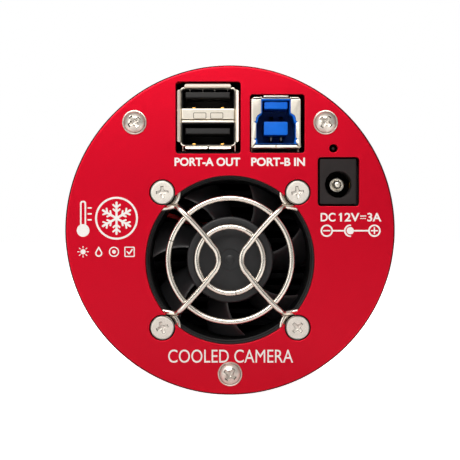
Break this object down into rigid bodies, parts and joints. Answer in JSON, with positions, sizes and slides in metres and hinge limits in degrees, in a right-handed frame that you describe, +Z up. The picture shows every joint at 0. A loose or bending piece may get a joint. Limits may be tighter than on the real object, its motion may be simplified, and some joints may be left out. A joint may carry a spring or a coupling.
{
  "type": "cooled astronomy camera",
  "caption": "Round red cooled astronomy camera: finned, fan-cooled body with data sockets, a power jack and a wire fan guard at the rear, and a threaded telescope flange in front.",
  "frame": {"origin": "centre of the telescope flange's front face, on the optical axis", "axes": "+Y along the optical axis towards the telescope, +Z up towards the sockets, +X to the right as seen from behind the camera; the rear cover faces -Y"},
  "size_m": [0.078, 0.0875, 0.078],
  "materials": {
    "red_anodised": "bead-blasted, red anodised",
    "black_anodised": "black anodised",
    "stainless_steel": "satin stainless",
    "nickel_plate": "bright nickel plate",
    "black_plastic": "moulded, slightly glossy on the hub",
    "blue_plastic": "moulded blue",
    "magnet_black": "bonded magnet strip",
    "copper": "bare copper, and lacquered copper windings",
    "brass": "bare",
    "ceramic": "white alumina",
    "lamp_clear": "clear, unlit",
    "circuit_board": "green solder mask",
    "circuit_board_black": "black solder mask",
    "chip_black": "moulded black",
    "amber_film": "amber film with copper tracks",
    "coated_glass": "anti-reflection coated",
    "seal_rubber": "black rubber",
    "insulation_foam": "closed-cell foam",
    "desiccant": "pressed white tablets",
    "lead_red": "red insulated wire"
  },
  "bodies": {
    "camera": {"rear_cover": "red_anodised", "main_housing": "red_anodised", "front_housing": "red_anodised", "front_cover": "red_anodised", "window_retainer": "black_anodised", "heat_sink": "black_anodised", "cover_screw_1": "stainless_steel", "cover_screw_2": "stainless_steel", "cover_screw_3": "stainless_steel", "fan_screw_1": "stainless_steel", "fan_screw_2": "stainless_steel", "fan_screw_3": "stainless_steel", "fan_screw_4": "stainless_steel", "front_screw_1": "stainless_steel", "front_screw_2": "stainless_steel", "front_screw_3": "stainless_steel", "front_screw_4": "stainless_steel", "fan_guard": "stainless_steel", "hub_port_shell": "nickel_plate", "data_port_shell": "nickel_plate", "power_jack_pin": "nickel_plate", "fan_frame": "black_plastic", "hub_port_core": "black_plastic", "power_jack_body": "black_plastic", "data_port_core": "blue_plastic", "fan_stator": "copper", "cold_finger": "copper", "fan_bearing": "brass", "cover_standoff_1": "brass", "cover_standoff_2": "brass", "cover_standoff_3": "brass", "power_jack_contact": "brass", "peltier_core": "brass", "peltier_cold_plate": "ceramic", "peltier_hot_plate": "ceramic", "image_sensor": "ceramic", "status_lamp": "lamp_clear", "sensor_board": "circuit_board", "main_board": "circuit_board_black", "main_processor": "chip_black", "buffer_memory": "chip_black", "hub_controller": "chip_black", "sensor_flex": "amber_film", "dew_heater": "amber_film", "window_glass": "coated_glass", "sensor_glass": "coated_glass", "window_seal": "seal_rubber", "front_seal": "seal_rubber", "rear_seal": "seal_rubber", "thermal_insulator": "insulation_foam", "desiccant_tablet_1": "desiccant", "desiccant_tablet_2": "desiccant", "desiccant_tablet_3": "desiccant", "desiccant_tablet_4": "desiccant", "fan_lead": "lead_red"},
    "fan_rotor": {"fan_impeller": "black_plastic", "fan_magnet_ring": "magnet_black", "fan_shaft": "stainless_steel"}
  },
  "joints": [
    {"name": "fan_spin", "type": "hinge", "parent": "camera", "child": "fan_rotor", "pos_m": [0, -0.0755, -0.0071], "axis": [0, -1, 0], "continuous": true}
  ]
}
